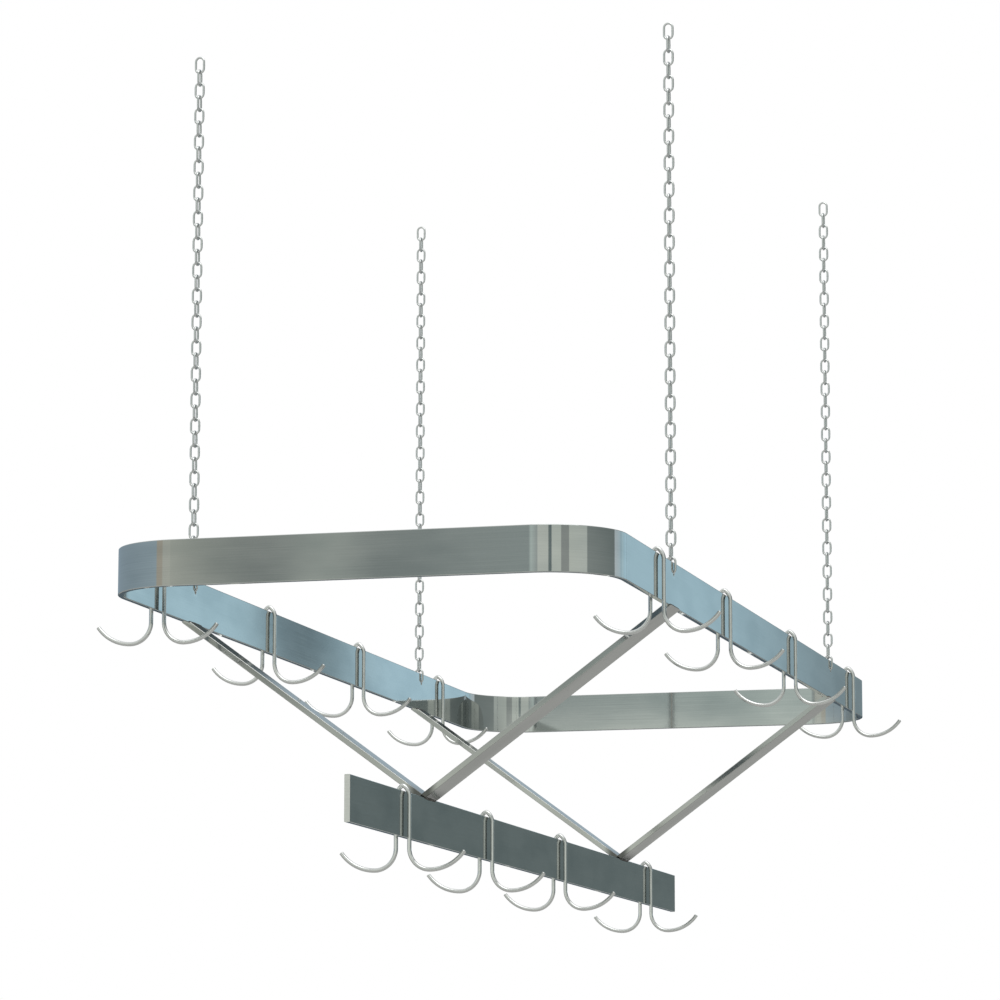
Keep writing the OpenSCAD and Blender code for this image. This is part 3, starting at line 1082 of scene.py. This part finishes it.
@dataclass(frozen=True)
class Studio:
    """A white studio: soft cards round it that the polished steel mirrors, a pale floor and a lamp."""

    # Azimuth in degrees from the rack's near end towards its right side, with the colour that a card shows
    # there; each belt of cards takes over from the one before at its first azimuth
    high_cards: tuple[Belt, ...] = (
        # From the far end round the left side: a cool card, then a warm one and a pale one
        (
            (-180, "#8799a7"),
            (-42.5, "#abbdc7"),
            (-41.0, "#bfb9ac"),
            (-33.0, "#bfb9ac"),
            (-31.5, "#c9cbc2"),
            (-24.0, "#c9cbc2"),
        ),
        # The near end, behind the camera: pale cards with grey gaps between them
        (
            (-24.0, "#c9cbc2"),
            (-20.1, "#c9ccc2"),
            (-19.7, "#b4b9b2"),
            (-19.3, "#a1a7a3"),
            (-18.5, "#9ba19f"),
            (-18.1, "#bcc3bd"),
            (-17.7, "#bcc3bd"),
            (-17.4, "#9fa6a4"),
            (-14.8, "#a2adac"),
            (-11.5, "#cad7d3"),
            (-2.6, "#b4bcba"),
            (-1.6, "#dadfd8"),
            (13.3, "#dadfd8"),
            (13.7, "#8b9694"),
            (16.2, "#7c898a"),
            (17.9, "#7c898a"),
            (18.3, "#dbe1d9"),
            (31.4, "#dbe1d9"),
            (31.9, "#a8adaa"),
            (42.9, "#a8adaa"),
            (43.4, "#d8ded6"),
            (45.0, "#d8ded6"),
        ),
        # The right side: a pale card, a long grey one and a cool one
        (
            (45.0, "#d8ded6"),
            (70.2, "#d6dcd6"),
            (71.2, "#9aa2a0"),
            (122.6, "#848e8d"),
            (123.4, "#d3dde2"),
            (137.0, "#c9dde6"),
            (140.0, "#b4d0dd"),
            (146.0, "#c6e3ee"),
            (150.0, "#bddeed"),
        ),
        # The far end: cool cards with one narrow dark gap
        (
            (150.0, "#bddeed"),
            (160.9, "#c3e5f4"),
            (161.15, "#b9d9e7"),
            (161.4, "#8ba0a9"),
            (161.7, "#7c8f97"),
            (161.95, "#768890"),
            (162.2, "#97b0ba"),
            (162.55, "#b2cfdc"),
            (163.0, "#c5e7f7"),
            (166.0, "#b5d5e3"),
            (167.4, "#b4d4e2"),
            (169.4, "#84959b"),
        ),
    )
    # Under the high cards: white towards the near end, dark towards the far one
    low_cards: tuple[Belt, ...] = (
        (
            (-180, "#56626a"),
            (-140, "#5c686f"),
            (-100, "#b6bcba"),
            (-21.0, "#f6fbf3"),
            (30.0, "#e4e9e2"),
            (60.0, "#a2a9a6"),
            (100.0, "#7d8786"),
            (150.0, "#748080"),
            (172.0, "#707c7d"),
        ),
    )
    # Over them: pale towards the near end, dark from the right side to the far end
    upper_cards: tuple[Belt, ...] = (
        (
            (-180, "#a9b9c3"),
            (-140, "#a9b9c3"),
            (-100, "#c4caca"),
            (-40.0, "#d8ddd8"),
            (60.0, "#d8ddd8"),
            (98.0, "#626a6c"),
            (172.0, "#5a6467"),
        ),
    )
    # Elevation in degrees at which the high cards and the upper cards start
    border: float = 6.22
    upper_border: float = 10.5
    # Sine of the elevation at which the ceiling starts, and half widths of the three soft edges
    ceiling_level: float = 0.55
    border_edge: float = 0.0022
    upper_edge: float = 0.006
    ceiling_edge: float = 0.2
    ceiling: str = "#f2f4f3"
    # The even grey that lights everything that isn't steel
    diffuse: float = 0.72
    floor_colour: str = "#cfd0cd"
    floor_cloud: str = "#cacbc8"
    floor_height: float = -2.35
    floor_half: float = 9.0
    lamp_size: float = 3.0
    lamp_power: float = 55.0
    lamp_place: tuple[float, float, float] = (1.0, -1.6, 3.2)
    lamp_aim: tuple[float, float, float] = (0.0, 0.0, -0.6)

    def ring(
        self, add: Adder, azimuth: bpy.types.NodeSocket, belts: tuple[Belt, ...]
    ) -> bpy.types.NodeSocket:
        """Adds a ring of cards round the horizon: a ramp for each belt, so that a narrow card stays sharp.

        Args:
            add: add_node for the world's tree.
            azimuth: the azimuth in radians.
            belts: azimuths in degrees with their colours, belt by belt.

        Returns:
            The ring's colour output.
        """
        colour = None
        for cards in belts:
            start, end = math.radians(cards[0][0]), math.radians(cards[-1][0])
            share = add("ShaderNodeMapRange", {"From Min": start, "From Max": end}, {"Value": azimuth})
            ramp = add("ShaderNodeValToRGB", None, {"Fac": share.outputs["Result"]})
            stops = ramp.color_ramp.elements
            while len(stops) > 1:
                stops.remove(stops[-1])
            stops[0].position, stops[0].color = 0.0, linear(cards[0][1])
            for degrees, code in cards[1:]:
                stop = stops.new((math.radians(degrees) - start) / (end - start))
                stop.color = linear(code)
            if colour is None:
                colour = ramp.outputs["Color"]
                continue
            past = add("ShaderNodeMath", {"operation": "GREATER_THAN", 1: start}, {0: azimuth})
            links = {0: past.outputs["Value"], MIX_A: colour, MIX_B: ramp.outputs["Color"]}
            colour = add("ShaderNodeMix", {"data_type": "RGBA"}, links).outputs[MIX_RESULT]
        return colour

    def world(self) -> None:
        """Makes the world: white to the camera, the cards to the steel and an even grey to all else."""
        world = bpy.data.worlds.new("studio_walls")
        bpy.context.scene.world = world
        add = empty_tree(world)
        direction = add("ShaderNodeTexCoord").outputs["Generated"]
        parts = add("ShaderNodeSeparateXYZ", None, {"Vector": direction})
        back = add("ShaderNodeMath", {"operation": "MULTIPLY", 1: -1.0}, {0: parts.outputs["Y"]})
        level = {0: parts.outputs["X"], 1: back.outputs["Value"]}
        azimuth = add("ShaderNodeMath", {"operation": "ARCTAN2"}, level).outputs["Value"]
        high = self.ring(add, azimuth, self.high_cards)
        room = self.ring(add, azimuth, self.low_cards)
        upper = self.ring(add, azimuth, self.upper_cards)
        ceiling = add("ShaderNodeRGB").outputs["Color"]
        ceiling.default_value = linear(self.ceiling)
        layers = (
            (math.sin(math.radians(self.border)), self.border_edge, high),
            (math.sin(math.radians(self.upper_border)), self.upper_edge, upper),
            (self.ceiling_level, self.ceiling_edge, ceiling),
        )
        for start, soft, card in layers:
            fade = {"interpolation_type": "SMOOTHSTEP", "From Min": start - soft, "From Max": start + soft}
            step = add("ShaderNodeMapRange", fade, {"Value": parts.outputs["Z"]}).outputs["Result"]
            links = {0: step, MIX_A: room, MIX_B: card}
            room = add("ShaderNodeMix", {"data_type": "RGBA"}, links).outputs[MIX_RESULT]
        path = add("ShaderNodeLightPath")
        grey = {"data_type": "RGBA", MIX_A: (self.diffuse, self.diffuse, self.diffuse, 1.0)}
        even = add("ShaderNodeMix", grey, {0: path.outputs["Is Glossy Ray"], MIX_B: room})
        white = {"data_type": "RGBA", MIX_B: (1.0, 1.0, 1.0, 1.0)}
        links = {0: path.outputs["Is Camera Ray"], MIX_A: even.outputs[MIX_RESULT]}
        seen = add("ShaderNodeMix", white, links).outputs[MIX_RESULT]
        background = add("ShaderNodeBackground", {"Strength": 1.0}, {"Color": seen})
        add("ShaderNodeOutputWorld", None, {"Surface": background.outputs["Background"]})

    def floor(self) -> None:
        """Lays the pale floor: a level square well below the rack, faintly clouded."""
        mesh = bpy.data.meshes.new("studio_floor")
        square = np.array([[-1, -1, 0], [1, -1, 0], [1, 1, 0], [-1, 1, 0]]) * self.floor_half
        mesh.from_pydata((square + Z * self.floor_height).tolist(), [], [[0, 1, 2, 3]])
        material = bpy.data.materials.new("pale_studio_floor")
        add = empty_tree(material)
        place_on_floor = add("ShaderNodeTexCoord").outputs["Object"]
        noise = {"Scale": 0.8, "Detail": 2.0}
        cloud = add("ShaderNodeTexNoise", noise, {"Vector": place_on_floor}).outputs["Fac"]
        colours = {"data_type": "RGBA", MIX_A: linear(self.floor_colour), MIX_B: linear(self.floor_cloud)}
        tone = add("ShaderNodeMix", colours, {0: cloud}).outputs[MIX_RESULT]
        shader = add("ShaderNodeBsdfPrincipled", {"Roughness": 0.9}, {"Base Color": tone})
        add("ShaderNodeOutputMaterial", None, {"Surface": shader.outputs["BSDF"]})
        mesh.materials.append(material)
        floor = bpy.data.objects.new("studio_floor", mesh)
        bpy.context.scene.collection.objects.link(floor)

    def lamp(self) -> None:
        """Hangs one broad soft lamp over the rack, a little towards the camera."""
        light = bpy.data.lights.new("overhead_softbox", "AREA")
        light.shape, light.energy = "RECTANGLE", self.lamp_power
        light.size, light.size_y = self.lamp_size, self.lamp_size
        lamp = bpy.data.objects.new("overhead_softbox", light)
        lamp.location = self.lamp_place
        lamp.rotation_euler = (Vector(self.lamp_aim) - lamp.location).to_track_quat("-Z", "Y").to_euler()
        bpy.context.scene.collection.objects.link(lamp)

    def build(self) -> None:
        """Sets up the camera, the world, the lamp and the floor."""
        bpy.context.scene.view_settings.view_transform = "Standard"
        PhotoCamera().build()
        self.world()
        self.lamp()
        self.floor()
        LOG.info("studio: camera, world, lamp and floor")


def main() -> None:
    """Builds the studio and the rack, piece by piece."""
    logging.basicConfig(level=logging.INFO, format="%(name)s: %(message)s")
    Studio().build()
    finishes = Finishes.make()
    ring = RingBand()
    ring.build(finishes)
    ring.weld(finishes)
    CentreBar().build(finishes)
    Braces().build(finishes)
    Hooks().build(finishes)
    Chains().build(finishes)


if __name__ == "__main__":
    main()
